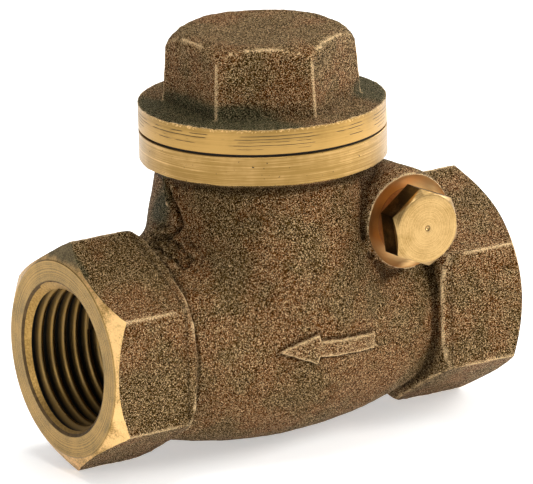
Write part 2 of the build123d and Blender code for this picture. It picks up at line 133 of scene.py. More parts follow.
class CastingSizes(bpy.types.PropertyGroup):
    face_to_face: length("Face to face", 65, "Length from mouth to mouth")
    hexagon_flats: length("Hexagon flats", 27.6, "Width across the flats of the pipe ends")
    end_face_radius: length("End face", 13.3, "Radius of the turned end face")
    collar_radius: length("Collar", 16.7, "Turned radius of the collar and the cap's flange")
    collar_top: length("Collar top", 26.85, "Height of the collar's top face over the pipe axis")
    spot_face_radius: length("Spot face", 6.4, "Radius of the turned face under the plug")
    voxel: length("Voxel", 0.42, "Grain of the cast surface's mesh")
    arrow_height: length("Arrow height", 0.5, "How far the flow arrow stands out")


class ThreadSizes(bpy.types.PropertyGroup):
    major_radius: length("Major radius", 10.4775, "Radius at the thread's root in the port")
    minor_radius: length("Minor radius", 9.33, "Radius of the thread's crests in the port")
    pitch: length("Pitch", 1.814, "Distance from crest to crest")
    depth: length("Depth", 11.9, "Length of full thread from the mouth")
    mouth_radius: length("Mouth radius", 10.42, "Radius of the countersunk mouth")


class CastFinish(bpy.types.PropertyGroup):
    ground: colour("Ground", (95, 69, 28), "Middle brown of the sand cast skin")
    red: colour("Red", (120, 71, 28), "Redder brown that lies over it in clouds")
    # This dark brown also paints the shade in hollows, creases and grooves of the casting.
    pits: colour("Pits", (20, 10, 2), "Dark brown in the pits")
    grains: colour("Grains", (224, 190, 142), "Tan of the raised grains")
    # This pale metal paints both the scuffed edges and the painted highlights and glints.
    worn_and_highlight: colour("Worn", (236, 204, 154), "Rubbed metal on the edges")
    patina: colour("Patina", (78, 78, 54), "Grey green tarnish in the corners")


class TurnedFinish(bpy.types.PropertyGroup):
    bright: colour("Bright", (184, 146, 84), "Freshly turned bronze")
    gold: colour("Gold", (240, 196, 132), "Bright chamfers")
    # On the spot face this copper, with the gold beside it, paints shade and reflection rather than a
    # second metal.
    copper: colour("Copper", (234, 162, 78), "Redder metal under the plug")
    dull: colour("Dull", (150, 118, 64), "Turned bronze that has tarnished")
    # On the threads this colour is tarnish; on the plug's sides and in the spot face's band it paints
    # shade and dark reflection.
    face: colour("Face", (136, 110, 68), "Tarnished brass of the threads and the plug's sides")
    olive: colour("Olive", (112, 94, 56), "Olive rings on the pipe ends' flat faces")
    groove: colour("Groove", (20, 17, 12), "Black at the bottom of threads and grooves")
    plug: colour("Plug", (200, 164, 108), "Turned brass of the plug")


class StageSettings(bpy.types.PropertyGroup):
    floor: colour("Floor", (244, 244, 242), "Colour of the floor")
    key: FloatProperty(name="Key", default=1.0, description="Strength of the main light", min=0)
    azimuth: FloatProperty(
        name="Azimuth", default=math.radians(32.175), description="Camera's turn", unit="ROTATION"
    )
    elevation: FloatProperty(
        name="Elevation", default=math.radians(16.048), description="Camera's height", unit="ROTATION"
    )
    roll: FloatProperty(
        name="Roll", default=math.radians(1.612), description="Camera's roll", unit="ROTATION"
    )
    distance: FloatProperty(
        name="Distance", default=1.07788, description="From the camera to the valve", unit="LENGTH"
    )


# Meshes
def new_object(name, data):
    """An object in the scene that holds a mesh, a lamp or a camera."""
    made = bpy.data.objects.new(name, data)
    bpy.context.scene.collection.objects.link(made)
    return made


def mesh_from(name, verts, faces, place=None, material=None):
    """A mesh from points in millimetres, put at a place."""
    mesh = bpy.data.meshes.new(name)
    mesh.from_pydata([tuple(v) for v in verts], [], faces)
    if place is not None:
        mesh.transform(place)
    mesh.transform(Matrix.Scale(MM, 4))
    if material:
        mesh.materials.append(material)
    return mesh


def lathe(name, profile, place, segments=96, material=None):
    """A closed solid turned about a place's Z from (along, radius) points, radius 0 at both ends."""
    angles = np.linspace(0, 2 * math.pi, segments, endpoint=False)
    verts, rings, faces = [], [], []
    for along, radius in profile:
        count = segments if radius else 1
        rings.append(list(range(len(verts), len(verts) + count)))
        verts += [(radius * math.cos(a), radius * math.sin(a), along) for a in angles[:count]]
    for low, high in zip(rings, rings[1:]):
        for k in range(segments):
            n = (k + 1) % segments
            if len(low) == 1:
                faces.append((low[0], high[n], high[k]))
            elif len(high) == 1:
                faces.append((low[k], low[n], high[0]))
            else:
                faces.append((low[k], low[n], high[n], high[k]))
    return mesh_from(name, verts, faces, place, material)


def rod(name, radius, start, end, place, segments=72, material=None):
    """A plain round bar along a place's Z."""
    profile = ((start, 0), (start, radius), (end, radius), (end, 0))
    return lathe(name, profile, place, segments, material)


def prism(name, outline, start, end, place, material=None):
    """A closed prism along a place's Z from an outline that runs anticlockwise."""
    count = len(outline)
    verts = [(u, v, start) for u, v in outline] + [(u, v, end) for u, v in outline]
    faces = [tuple(reversed(range(count))), tuple(range(count, 2 * count))]
    faces += [(k, (k + 1) % count, (k + 1) % count + count, k + count) for k in range(count)]
    return mesh_from(name, verts, faces, place, material)


def hexagon(across_flats, turn=0.0):
    """A hexagon's corners, anticlockwise."""
    radius = across_flats / math.sqrt(3)
    angles = [turn + math.radians(60 * k) for k in range(6)]
    return [(radius * math.cos(a), radius * math.sin(a)) for a in angles]


def shaped(mesh, kind, **settings):
    """A mesh with one modifier applied."""
    holder = new_object("work", mesh)
    modifier = holder.modifiers.new("step", kind)
    for key, value in settings.items():
        setattr(modifier, key, value)
    graph = bpy.context.evaluated_depsgraph_get()
    result = bpy.data.meshes.new_from_object(holder.evaluated_get(graph))
    bpy.data.objects.remove(holder)
    return result


def cut(mesh, tool, operation="DIFFERENCE"):
    """A mesh after one boolean with a tool, whose faces keep the tool's material."""
    tool_object = new_object("tool", tool)
    result = shaped(
        mesh,
        "BOOLEAN",
        operation=operation,
        solver="MANIFOLD",
        material_mode="TRANSFER",
        object=tool_object,
    )
    bpy.data.objects.remove(tool_object)
    if not result.polygons:
        raise RuntimeError(f"nothing was left of {mesh.name} after {tool.name}")
    return result


def united(meshes):
    """One mesh from several that overlap."""
    result = meshes[0]
    for mesh in meshes[1:]:
        result = cut(result, mesh, "UNION")
    return result


def welded(node, material):
    """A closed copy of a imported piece's mesh."""
    work = bmesh.new()
    work.from_mesh(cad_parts[node].data)
    bmesh.ops.remove_doubles(work, verts=work.verts, dist=1e-7)
    mesh = bpy.data.meshes.new(node + "_solid")
    work.to_mesh(mesh)
    work.free()
    mesh.materials.clear()
    mesh.materials.append(material)
    return mesh


def fused(meshes, voxel):
    """The outer skin round several overlapping meshes, in even square faces."""
    work = bmesh.new()
    for mesh in meshes:
        work.from_mesh(mesh)
    joined = bpy.data.meshes.new("joined")
    work.to_mesh(joined)
    work.free()
    return shaped(joined, "REMESH", mode="VOXEL", voxel_size=voxel, use_smooth_shade=True)


# Points of a mesh as arrays, in millimetres
def points_of(mesh):
    """A mesh's points."""
    values = np.empty(len(mesh.vertices) * 3)
    mesh.vertices.foreach_get("co", values)
    return values.reshape(-1, 3) / MM


def set_points(mesh, points):
    """Moves a mesh's points."""
    mesh.vertices.foreach_set("co", (points * MM).ravel())
    mesh.update()


def normals_of(mesh):
    """The direction out of the surface at each point."""
    values = np.empty(len(mesh.vertices) * 3)
    mesh.vertex_normals.foreach_get("vector", values)
    return values.reshape(-1, 3)


def edges_of(mesh):
    """The two ends of each edge."""
    values = np.empty(len(mesh.edges) * 2, dtype=np.int64)
    mesh.edges.foreach_get("vertices", values)
    return values.reshape(-1, 2)


def neighbour_mean(values, edges):
    """The mean over each point's neighbours."""
    a, b = edges.T
    size = len(values)
    count = np.maximum(np.bincount(a, minlength=size) + np.bincount(b, minlength=size), 1)
    columns = values.reshape(size, -1)
    total = [
        np.bincount(a, column[b], size) + np.bincount(b, column[a], size) for column in columns.T
    ]
    return (np.stack(total, axis=1) / count[:, None]).reshape(values.shape)


def relaxed(points, edges, weight, rounds):
    """Points drawn towards their neighbours, each by its own weight."""
    for _ in range(rounds):
        points = points + (neighbour_mean(points, edges) - points) * weight[:, None]
    return points


def waves(points, size, seed):
    """Smooth noise from -1 to 1 at each point, with bumps of a given size in millimetres."""
    offset = Vector((seed * 17.3, seed * 5.9, seed * 11.1))
    return np.array([noise.noise(Vector(p) / size + offset) for p in points])


def smooth_step(value, low, high):
    """0 below low, 1 above high and smooth between."""
    t = np.clip((value - low) / (high - low), 0, 1)
    return t * t * (3 - 2 * t)


def polygon_distance(x, z, corners):
    """The distance from each point to a polygon's edge, below 0 inside."""
    best = np.full(len(x), 1e9)
    inside = np.zeros(len(x), dtype=bool)
    for (x0, z0), (x1, z1) in zip(corners, corners[1:] + corners[:1]):
        dx, dz = x1 - x0, z1 - z0
        t = np.clip(((x - x0) * dx + (z - z0) * dz) / (dx * dx + dz * dz), 0, 1)
        best = np.minimum(best, np.hypot(x - x0 - t * dx, z - z0 - t * dz))
        crosses = (z0 > z) != (z1 > z)
        inside ^= crosses & (x < x0 + (z - z0) / (dz or 1e-9) * dx)
    return np.where(inside, -best, best)


def path_distance(points, path):
    """The distance from each point to an open path in space."""
    best = np.full(len(points), 1e9)
    for start, end in zip(path, path[1:]):
        start, end = np.array(start), np.array(end)
        way = end - start
        t = np.clip((points - start) @ way / (way @ way), 0, 1)
        best = np.minimum(best, np.linalg.norm(points - start - t[:, None] * way, axis=1))
    return best


def refined(mesh, near, times):
    """A mesh with the faces near something divided into smaller ones."""
    for _ in range(times):
        work = bmesh.new()
        work.from_mesh(mesh)
        work.verts.ensure_lookup_table()
        chosen = near(points_of(mesh))
        edges = [e for e in work.edges if chosen[e.verts[0].index] and chosen[e.verts[1].index]]
        bmesh.ops.subdivide_edges(work, edges=edges, cuts=1, use_grid_fill=True)
        mesh = bpy.data.meshes.new("refined")
        work.to_mesh(mesh)
        work.free()
    return mesh


def hump(value, middle, width):
    """1 at the middle, falling smoothly to almost nothing two widths away."""
    return np.exp(-(((value - middle) / width) ** 2))


def keep_marks(mesh, marks):
    """Stores numbers from 0 to 1 on a mesh's points, for its materials."""
    for name, values in marks.items():
        layer = mesh.attributes.new(name, "FLOAT", "POINT")
        layer.data.foreach_set("value", np.clip(values, 0, 1).astype(np.float32))


def nearest_values(points, known_points, known):
    """The known values of the nearest known points."""
    tree = kdtree.KDTree(len(known_points))
    for k, point in enumerate(known_points):
        tree.insert(point, k)
    tree.balance()
    index = [tree.find(point)[1] for point in points]
    return {name: values[index] for name, values in known.items()}


def sharpen_borders(mesh):
    """Joins points that coincide and marks the edges where two finishes meet as sharp."""
    names = [material.name for material in mesh.materials]
    work = bmesh.new()
    work.from_mesh(mesh)
    bmesh.ops.remove_doubles(work, verts=work.verts, dist=1e-8)
    for edge in work.edges:
        if len({names[face.material_index] for face in edge.link_faces}) > 1:
            edge.smooth = False
    work.to_mesh(mesh)
    work.free()


def finished(name, mesh, body, node, smooth_angle=30):
    """Puts a made piece in place of its packed one."""
    mesh.shade_smooth()
    piece = new_object(name, mesh)
    mesh.set_sharp_from_angle(angle=math.radians(smooth_angle))
    sharpen_borders(mesh)
    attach(piece, body)
    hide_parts(node)


def dress(node, material):
    """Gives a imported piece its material."""
    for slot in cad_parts[node].material_slots:
        slot.material = material


# Shader nodes written as Python expressions
class Socket:
    """A shader value that takes part in Python arithmetic."""

    def __init__(self, recipe, link):
        self.recipe = recipe
        self.link = link

    def math(self, operation, *others, **settings):
        operands = dict(enumerate((self, *others)))
        return self.recipe.node("ShaderNodeMath", {"operation": operation, **settings}, operands)

    def __add__(self, other):
        return self.math("ADD", other)

    def __radd__(self, other):
        return self + other

    def __sub__(self, other):
        return self.math("SUBTRACT", other)

    def __rsub__(self, other):
        return self * -1 + other

    def __mul__(self, other):
        return self.math("MULTIPLY", other)

    def __pow__(self, other):
        return self.math("POWER", other)

    def smooth(self, low, high):
        """0 below low, 1 above high and smooth between."""
        settings = {"interpolation_type": "SMOOTHSTEP"}
        return self.recipe.node("ShaderNodeMapRange", settings, {0: self, 1: low, 2: high})


class Recipe:
    """A material built node by node."""

    def __init__(self, name):
        self.material = bpy.data.materials.new(name)
        self.material.use_nodes = True
        self.tree = self.material.node_tree
        self.tree.nodes.clear()

    def node(self, kind, settings, inputs, output=0):
        """Adds a node, sets its settings, then fills its sockets with values or links."""
        made = self.tree.nodes.new(kind)
        for key, value in settings.items():
            setattr(made, key, value)
        for key, value in inputs.items():
            if isinstance(value, Socket):
                self.tree.links.new(value.link, made.inputs[key])
            else:
                made.inputs[key].default_value = value
        return Socket(self, made.outputs[output]) if made.outputs else made

    def mark(self, name):
        """A number stored on the mesh's points."""
        return self.node("ShaderNodeAttribute", {"attribute_name": name}, {}, "Fac")

    def mix(self, factor, a, b):
        """Colour a where the factor is 0 and colour b where it is 1."""
        settings = {"data_type": "RGBA", "clamp_factor": True}
        sockets = {0: factor, 6: opaque(a), 7: opaque(b)}
        return self.node("ShaderNodeMix", settings, sockets, 2)

    def place(self):
        """The point on the surface, in metres."""
        return self.node("ShaderNodeTexCoord", {}, {}, "Object")

    def noise(self, vector, scale, detail=2.0, roughness=0.5):
        """Smooth noise from 0 to 1."""
        sockets = {"Vector": vector, "Scale": scale, "Detail": detail, "Roughness": roughness}
        return self.node("ShaderNodeTexNoise", {"noise_dimensions": "3D"}, sockets)

    def streaks(self):
        """Noise drawn out into long level streaks round the neck."""
        squeeze = self.node(
            "ShaderNodeVectorMath", {"operation": "MULTIPLY"}, {0: self.place(), 1: (90, 90, 6500)}
        )
        return self.noise(squeeze, 1.0, 3.0, 0.7)

    def spark(self, vector, scale):
        """A random level from 0 to 1 for each grain of a scatter."""
        shades = self.node("ShaderNodeTexVoronoi", {}, {"Vector": vector, "Scale": scale}, "Color")
        return self.node("ShaderNodeSeparateColor", {}, {0: shades})

    def along(self, point, direction):
        """How far the surface lies along a direction from a point given in millimetres."""
        offset = [-c * MM for c in point]
        moved = self.node(
            "ShaderNodeVectorMath", {"operation": "ADD"}, {0: self.place(), 1: offset}
        )
        sockets = {0: moved, 1: tuple(direction)}
        return self.node("ShaderNodeVectorMath", {"operation": "DOT_PRODUCT"}, sockets, "Value")

    def from_axis(self, place):
        """The distance along an axis and the distance from it, in metres."""
        origin = place.translation
        axis = place.col[2].to_3d()
        u, v = place.col[0].to_3d(), place.col[1].to_3d()
        across, up = self.along(origin, u), self.along(origin, v)
        return self.along(origin, axis), (across * across + up * up) ** 0.5

    def vector(self, x, y, z):
        """Three numbers as one vector."""
        return self.node("ShaderNodeCombineXYZ", {}, {0: x, 1: y, 2: z})

    def bump(self, height, distance, strength=1.0):
        """A surface direction from a height."""
        sockets = {"Height": height, "Distance": distance, "Strength": strength}
        return self.node("ShaderNodeBump", {}, sockets)

    def surface(self, **sockets):
        """The finished surface."""
        names = {key.replace("_", " ").title(): value for key, value in sockets.items()}
        names = {key.replace("Ior", "IOR"): value for key, value in names.items()}
        if not isinstance(names["Base Color"], Socket):
            names["Base Color"] = opaque(names["Base Color"])
        shader = self.node("ShaderNodeBsdfPrincipled", {}, names)
        self.node("ShaderNodeOutputMaterial", {}, {"Surface": shader})
        return self.material


def opaque(value):
    """A colour with full alpha, unless it is a socket."""
    return value if isinstance(value, Socket) else (*value[:3], 1.0)


def cast_bronze():
    """Sand cast bronze: a brown skin, dark pits, tan grains with painted glints, scuffed edges with
    painted highlights, painted shade in hollows and grey green corners.
    """
    finish = bpy.context.scene.cast_finish
    recipe = Recipe("sand_cast_bronze")
    place = recipe.place()
    grain = recipe.noise(place, 12500, 0.0, 0.5)
    grit = recipe.noise(place, 4200, 2.0, 0.6)
    spark = recipe.spark(place, 10500)
    cloud = recipe.noise(place, 110, 3.0, 0.65)
    wear_and_highlight, painted_shade, patina = (recipe.mark(name) for name in ("wear_and_highlight", "painted_shade", "patina"))
    height = grain * 0.6 + grit * 0.4
    tone = height + (spark - 0.5) * 0.40 + (cloud - 0.5) * 0.06 + wear_and_highlight * 0.08
    ground = recipe.mix(cloud.smooth(0.42, 0.60), finish.ground, finish.red)
    stained = (patina + (cloud - 0.5) * 0.6 + (grit - 0.5) * 0.8).smooth(0.25, 0.9)
    stained = stained * patina.smooth(0.02, 0.3)
    ground = recipe.mix(stained, ground, finish.patina)
    dark = recipe.mix(tone.smooth(0.40, 0.50), finish.pits, ground)
    skin = recipe.mix(tone.smooth(0.60, 0.73) * (1 - stained * 0.8), dark, finish.grains)
    # Painted glints: the brightest grains get the pale metal colour as a painted highlight.
    glint = (spark * 0.5 + grain * 0.7).smooth(0.76, 0.87) * (1 - stained * 0.6)
    skin = recipe.mix(glint * 0.8, skin, finish.worn_and_highlight)
    # Scuffed metal and painted highlight: marked ridges and the highest grains turn to the pale metal
    # colour.
    scuffed_and_highlit = recipe.mix((wear_and_highlight + (height - 0.5) * 2.6).smooth(0.5, 1.1), skin, finish.worn_and_highlight)
    # Painted shade: hollows, creases, the flaw's groove, the arrow's foot and the corners behind the
    # hexagons are darkened towards the pits colour.
    base = recipe.mix(painted_shade.smooth(0.1, 1.0) * (1.25 - height) * 0.9, scuffed_and_highlit, finish.pits)
    return recipe.surface(
        base_color=base,
        metallic=0.45,
        specular_ior_level=0.0,
        roughness=0.64 - tone.smooth(0.5, 0.7) * 0.26,
        normal=recipe.bump(height, 0.00034, 1.0),
    )


def turned_collar():
    """The collar: turned bronze with fine level rings and a ragged lower edge."""
    finish = bpy.context.scene.turned_finish
    recipe = Recipe("turned_collar")
    along, radius = recipe.from_axis(NECK)
    rings = recipe.noise(recipe.vector(along, radius, 0.0), 16000, 3.0, 0.75)
    bands = recipe.noise(recipe.vector(along, radius, 0.0), 2600, 2.0, 0.6)
    streak = recipe.streaks()
    blotch = recipe.noise(recipe.place(), 230, 3.0, 0.65)
    specks = recipe.noise(recipe.place(), 2600, 1.0, 0.5)
    shade = (blotch * 0.6 + bands * 0.3 + rings * 0.5 + streak * 1.2 - 0.8).smooth(-0.2, 0.65)
    base = recipe.mix(shade, finish.gold, finish.dull)
    ragged_foot = 1 - (along - (specks - 0.5) * 0.0016).smooth(0.02185, 0.0221)
    pits = specks.smooth(0.72, 0.80).math("MAXIMUM", ragged_foot)
    base = recipe.mix(pits, base, bpy.context.scene.cast_finish.pits)
    return recipe.surface(
        base_color=base,
        metallic=1.0 - pits * 0.6,
        roughness=0.24 + bands * 0.16 + pits * 0.3,
        normal=recipe.bump(rings * 0.5 + streak * 0.5, 0.00004, 0.5),
    )


def turned_spot_face():
    """The spot face under the plug, with painted shade and reflection: redder copper in a band through
    the plug, bright gold above, below and at the rim, and a painted shadow in a band across it.
    """
    finish = bpy.context.scene.turned_finish
    recipe = Recipe("turned_spot_face")
    _, radius = recipe.from_axis(PIN)
    rings = recipe.noise(recipe.vector(0.0, radius, 0.0), 9000, 2.0, 0.7)
    blotch = recipe.noise(recipe.place(), 320, 3.0, 0.6)
    outer = (radius + (blotch - 0.5) * 0.0012).smooth(0.0054, 0.0063)
    lean = recipe.along(HINGE_POINT, (0.35, 0, 0.94))
    away = (lean - 0.0004).math("ABSOLUTE").smooth(0.0026, 0.0058)
    share = (away + outer * 0.2 + (rings - 0.5) * 0.3).smooth(0.0, 0.8)
    # Painted shade and reflection: copper in the band through the plug, gold away from it and at the
    # rim.
    base = recipe.mix(share, finish.copper, finish.gold)
    shadow = 1 - (lean + 0.0012).math("ABSOLUTE").smooth(0.0005, 0.0036)
    base = recipe.mix(shadow * 0.7, base, finish.face)
    return recipe.surface(
        base_color=base,
        metallic=0.9,
        roughness=0.38 + rings * 0.1,
        normal=recipe.bump(rings, 0.00004, 0.5),
    )


def turned_end():
    """The pipe ends: olive flat faces with lathe rings, golden chamfers and a tarnished top corner."""
    finish = bpy.context.scene.turned_finish
    recipe = Recipe("turned_ends")
    along, radius = recipe.from_axis(PIPE)
    half = bpy.context.scene.casting_sizes.face_to_face / 2
    depth = half - (along - half).math("ABSOLUTE")
    rings = recipe.noise(recipe.vector(0.0, radius, 0.0), 5200, 3.0, 0.8)
    bands = recipe.noise(recipe.vector(0.0, radius, 0.0), 1500, 2.0, 0.6)
    blotch = recipe.noise(recipe.place(), 320, 3.0, 0.6)
    fine = recipe.noise(recipe.place(), 5200, 1.0, 0.5)
    chamfer = depth.smooth(0.00004, 0.00016)
    scratches = (rings * 1.1 + fine * 0.3 + blotch * 0.4).smooth(0.72, 1.1)
    face = recipe.mix(scratches, finish.bright, finish.olive)
    gold = recipe.mix((fine * 0.5 + blotch * 0.9).smooth(0.55, 0.95), finish.gold, finish.dull)
    base = recipe.mix(chamfer, face, gold)
    height = recipe.along((0, 0, 0), (0, 0, 1))
    corner = (height + (blotch - 0.5) * 0.0022).smooth(0.0126, 0.0140) * chamfer
    stain = recipe.mix(fine.smooth(0.4, 0.6), bpy.context.scene.cast_finish.patina, finish.groove)
    base = recipe.mix(corner * 0.85, base, stain)
    return recipe.surface(
        base_color=base,
        metallic=1.0 - corner * 0.7,
        roughness=0.3 + bands * 0.16 + chamfer * 0.08 + corner * 0.2,
        normal=recipe.bump(rings * (1 - chamfer) + fine * 0.3, 0.00006, 0.8),
    )


def cut_thread():
    """The threads: dull brass on the crests and the mouth, black at the roots."""
    finish = bpy.context.scene.turned_finish
    sizes = bpy.context.scene.thread_sizes
    recipe = Recipe("cut_thread")
    along, radius = recipe.from_axis(PIPE)
    half = bpy.context.scene.casting_sizes.face_to_face / 2
    depth = half - (along - half).math("ABSOLUTE")
    fine = recipe.noise(recipe.place(), 3600, 2.0, 0.6)
    blotch = recipe.noise(recipe.place(), 420, 3.0, 0.6)
    deep = (depth + (fine - 0.5) * 0.0002).smooth(0.0009, 0.0013)
    ridge = sizes.major_radius - sizes.minor_radius
    low, high = sizes.minor_radius + ridge * 0.3, sizes.minor_radius + ridge * 0.8
    root = (radius + (fine - 0.5) * 0.0002).smooth(low, high)
    crest = recipe.mix((fine * 0.5 + blotch * 0.5).smooth(0.4, 0.62), finish.face, finish.dull)
    mouth = recipe.mix(fine.smooth(0.35, 0.7), finish.dull, finish.bright)
    base = recipe.mix(deep, mouth, recipe.mix(root, crest, finish.groove))
    return recipe.surface(
        base_color=base,
        metallic=1.0 - root * deep * 0.6,
        roughness=0.34 + fine * 0.14 + root * deep * 0.2,
        normal=recipe.bump(fine, 0.00004, 0.5),
    )


# Height over the flange's foot, half width and the noise level where each groove breaks off
FLANGE_GROOVES = (
    (0.75, 0.04, 0.55),
    (1.25, 0.055, 0.47),
    (1.7, 0.045, 0.52),
    (2.1, 0.06, 0.44),
    (2.55, 0.055, 0.48),
)


def turned_flange():
    """The cap's flange: turned bronze with a few broken dark grooves below its ragged upper rim."""
    finish = bpy.context.scene.turned_finish
    base_height = (bpy.context.scene.casting_sizes.collar_top / MM + GASKET) * MM
    recipe = Recipe("turned_flange")
    along, radius = recipe.from_axis(NECK)
    height = along - base_height
    wander = recipe.noise(recipe.place(), 170, 2.0, 0.5)
    broken = recipe.noise(recipe.place(), 130, 3.0, 0.65)
    rings = recipe.noise(recipe.vector(along, radius, 0.0), 15000, 2.0, 0.7)
    blotch = recipe.noise(recipe.place(), 240, 3.0, 0.6)
    fine = recipe.noise(recipe.place(), 3200, 2.0, 0.6)
    lines = 0.0
    for level, width, reach in FLANGE_GROOVES:
        off = (height - level * MM + (wander - 0.5) * 0.0003).math("ABSOLUTE")
        mark = (1 - off.smooth(width * 0.4 * MM, width * MM)) * broken.smooth(reach, reach + 0.05)
        lines = mark + lines
    lines = lines.math("MINIMUM", 1.0)
    streak = recipe.streaks()
    shade = blotch * 0.6 + rings * 0.4 + streak * 0.7 - 0.42 + (height - 0.0012) * 120
    base = recipe.mix(shade.smooth(0.35, 0.8), finish.bright, finish.dull)
    base = recipe.mix(lines * 0.85, base, finish.groove)
    rim = (height + (fine - 0.5) * 0.0011).smooth(0.0031, 0.0033) * 0.75
    base = recipe.mix(rim, base, recipe.mix(fine.smooth(0.42, 0.7), finish.face, finish.gold))
    return recipe.surface(
        base_color=base,
        metallic=1.0 - lines * 0.7,
        roughness=0.28 + rings * 0.14 + lines * 0.3,
        normal=recipe.bump(rings * 0.2 - lines, 0.00008, 0.8),
    )


def turned_plug():
    """Bright turned brass with clear rings on its face, and sides painted darker as painted shade and
    dark reflection.
    """
    finish = bpy.context.scene.turned_finish
    recipe = Recipe("turned_plug")
    along, radius = recipe.from_axis(PIN)
    rings = recipe.noise(recipe.vector(0.0, radius, 0.0), 7000, 2.0, 0.7)
    bands = recipe.noise(recipe.vector(0.0, radius, 0.0), 1900, 2.0, 0.6)
    blotch = recipe.noise(recipe.place(), 380, 3.0, 0.6)
    fine = recipe.noise(recipe.place(), 4200, 2.0, 0.6)
    side = along.smooth(-0.0192, -0.0189)
    shade = (blotch * 0.5 + rings * 0.7 + fine * 0.3).smooth(0.6, 1.0)
    base = recipe.mix(shade, finish.plug, finish.dull)
    dark = recipe.mix((blotch + fine * 0.3).smooth(0.3, 0.75), finish.face, finish.groove)
    # The sides are painted dark: painted shade and dark reflection on the same brass.
    base = recipe.mix(side * 0.93, base, dark)
    eye = 1 - (radius - 0.00034).math("ABSOLUTE").smooth(0.00002, 0.00014)
    base = recipe.mix(eye * 0.7, base, finish.groove)
    return recipe.surface(
        base_color=base,
        metallic=1.0,
        roughness=0.26 + bands * 0.14,
        normal=recipe.bump(rings * 0.5 + bands * 0.5, 0.00006, 0.5),
    )


def hidden_bronze(name, tint, rough, grain, depth, metallic=0.9):
    """Plain bronze or brass for the pieces inside."""
    recipe = Recipe(name)
    place = recipe.place()
    fine = recipe.noise(place, grain, 3.0, 0.6)
    cloud = recipe.noise(place, 300, 2.0, 0.5)
    dark = [level * 0.55 for level in tint]
    base = recipe.mix((fine * 0.6 + cloud * 0.6).smooth(0.4, 0.8), dark, tint)
    return recipe.surface(
        base_color=base,
        metallic=metallic,
        roughness=rough + cloud * 0.15,
        normal=recipe.bump(fine, depth, 0.6),
    )


# The room inside the body casting: the port's core, the bowl and the neck
PORT_ROOM = 11.2
BOWL_ROOM = 14.6
NECK_ROOM = 13.3


def hollow_region():
    """Solids that together are a little larger than the casting's hollow, but inside its skin."""
    turns = np.radians(range(-80, 1, 10))
    bowl = [(BOWL_Z + BOWL_ROOM * math.sin(a), BOWL_ROOM * math.cos(a)) for a in turns]
    chamber = [(BOWL_Z - BOWL_ROOM, 0), *bowl, (8, NECK_ROOM), (28, NECK_ROOM), (28, 0)]
    arm_slot = [(-6.1, -7.5), (6.1, -7.5), (6.1, 0.5), (-6.1, 0.5)]
    arm_place = axes_at(HINGE_POINT, SEAT_OUT, (0, -1, 0))
    seat_place = axes_at((0, 0, -1.36), (1, 0, 0))
    return [
        rod("outlet core", PORT_ROOM, -1, 13, PIPE),
        rod("inlet core", PORT_ROOM, 52, 66, PIPE),
        rod("outlet passage", 9.2, 12, 30, PIPE),
        rod("inlet passage", 9.0, 49.5, 53, PIPE),
        lathe("chamber", chamber, NECK, 72),
        rod("disc pocket", 10.95, -6.6, 2.6, DISC),
        rod("seat bore", 8.3, 42, 53.2, seat_place),
        rod("hinge pocket", 5.2, -7.8, 7.8, PIN),
        prism("arm slot", arm_slot, -3, 6.8, arm_place),
        rod("plug hole", 4.7, -16, -8.9, PIN),
        rod("pin hole", 2.7, -9.4, 12.3, PIN),
    ]


def thread_ridge(steps):
    """The steps of one pitch and the groove's depth at each, 0 on the crest and 1 at the root."""
    share = np.arange(steps) / steps
    flank_slope, crest_width, rounding = 2.6, 0.25, 0.45
    ridge = np.clip((0.5 - np.abs(share - 0.5)) * flank_slope - crest_width, 0, 1)
    return share, smooth_step(ridge, 0, 1) * rounding + ridge * (1 - rounding)


def thread_tool(mouth, inward, material):
    """The solids that cut one port's thread and its countersunk mouth."""
    sizes = bpy.context.scene.thread_sizes
    major, minor = sizes.major_radius / MM, sizes.minor_radius / MM
    pitch, depth = sizes.pitch / MM, sizes.depth / MM
    around, steps, lead_in = 128, 12, 1.2
    fade_from, fade_to = depth - 1.6 * pitch, depth - 0.2 * pitch
    share, ridge = thread_ridge(steps)
    turns = int(depth / pitch) + 1
    verts = []
    for j in range(around * turns + 1):
        angle = 2 * math.pi * j / around
        start = pitch * j / around - lead_in
        fade = 1 - smooth_step(start, fade_from, fade_to)
        for k in range(steps):
            radius = minor + (major - minor) * ridge[k] * fade
            x, y = radius * math.cos(angle), radius * math.sin(angle)
            verts.append((x, y, start + pitch * share[k]))
    faces = []
    last = around * (turns - 1)
    for j in range(last):
        for k in range(steps):
            a = j * steps + k
            b = a + steps
            if k < steps - 1:
                faces.append((a, b, b + 1, a + 1))
            else:
                c = (j + around) * steps
                faces.append((a, b, c + steps, c))
    first_rim = [j * steps for j in range(around + 1)] + list(range(steps - 1, 0, -1))
    last_rim = [last * steps + k for k in first_rim]
    centres = len(verts)
    verts += [(0, 0, -1.5), (0, 0, depth + 0.5)]
    for p, q in zip(first_rim, first_rim[1:] + first_rim[:1]):
        faces.append((centres, q, p))
    for p, q in zip(last_rim, last_rim[1:] + last_rim[:1]):
        faces.append((centres + 1, p, q))
    place = axes_at((mouth, 0, 0), (inward, 0, 0))
    mesh = mesh_from("thread tool", verts, faces, place, material)
    used = bmesh.new()
    used.from_mesh(mesh)
    bmesh.ops.delete(used, geom=[v for v in used.verts if not v.link_faces], context="VERTS")
    bmesh.ops.recalc_face_normals(used, faces=used.faces)
    used.to_mesh(mesh)
    used.free()
    rim = sizes.mouth_radius / MM
    slope = rim - minor
    cone = [(-1, 0), (-1, rim), (0, rim), (slope, minor), (slope, 0)]
    return [mesh, lathe("countersink", cone, place, 192, material)]


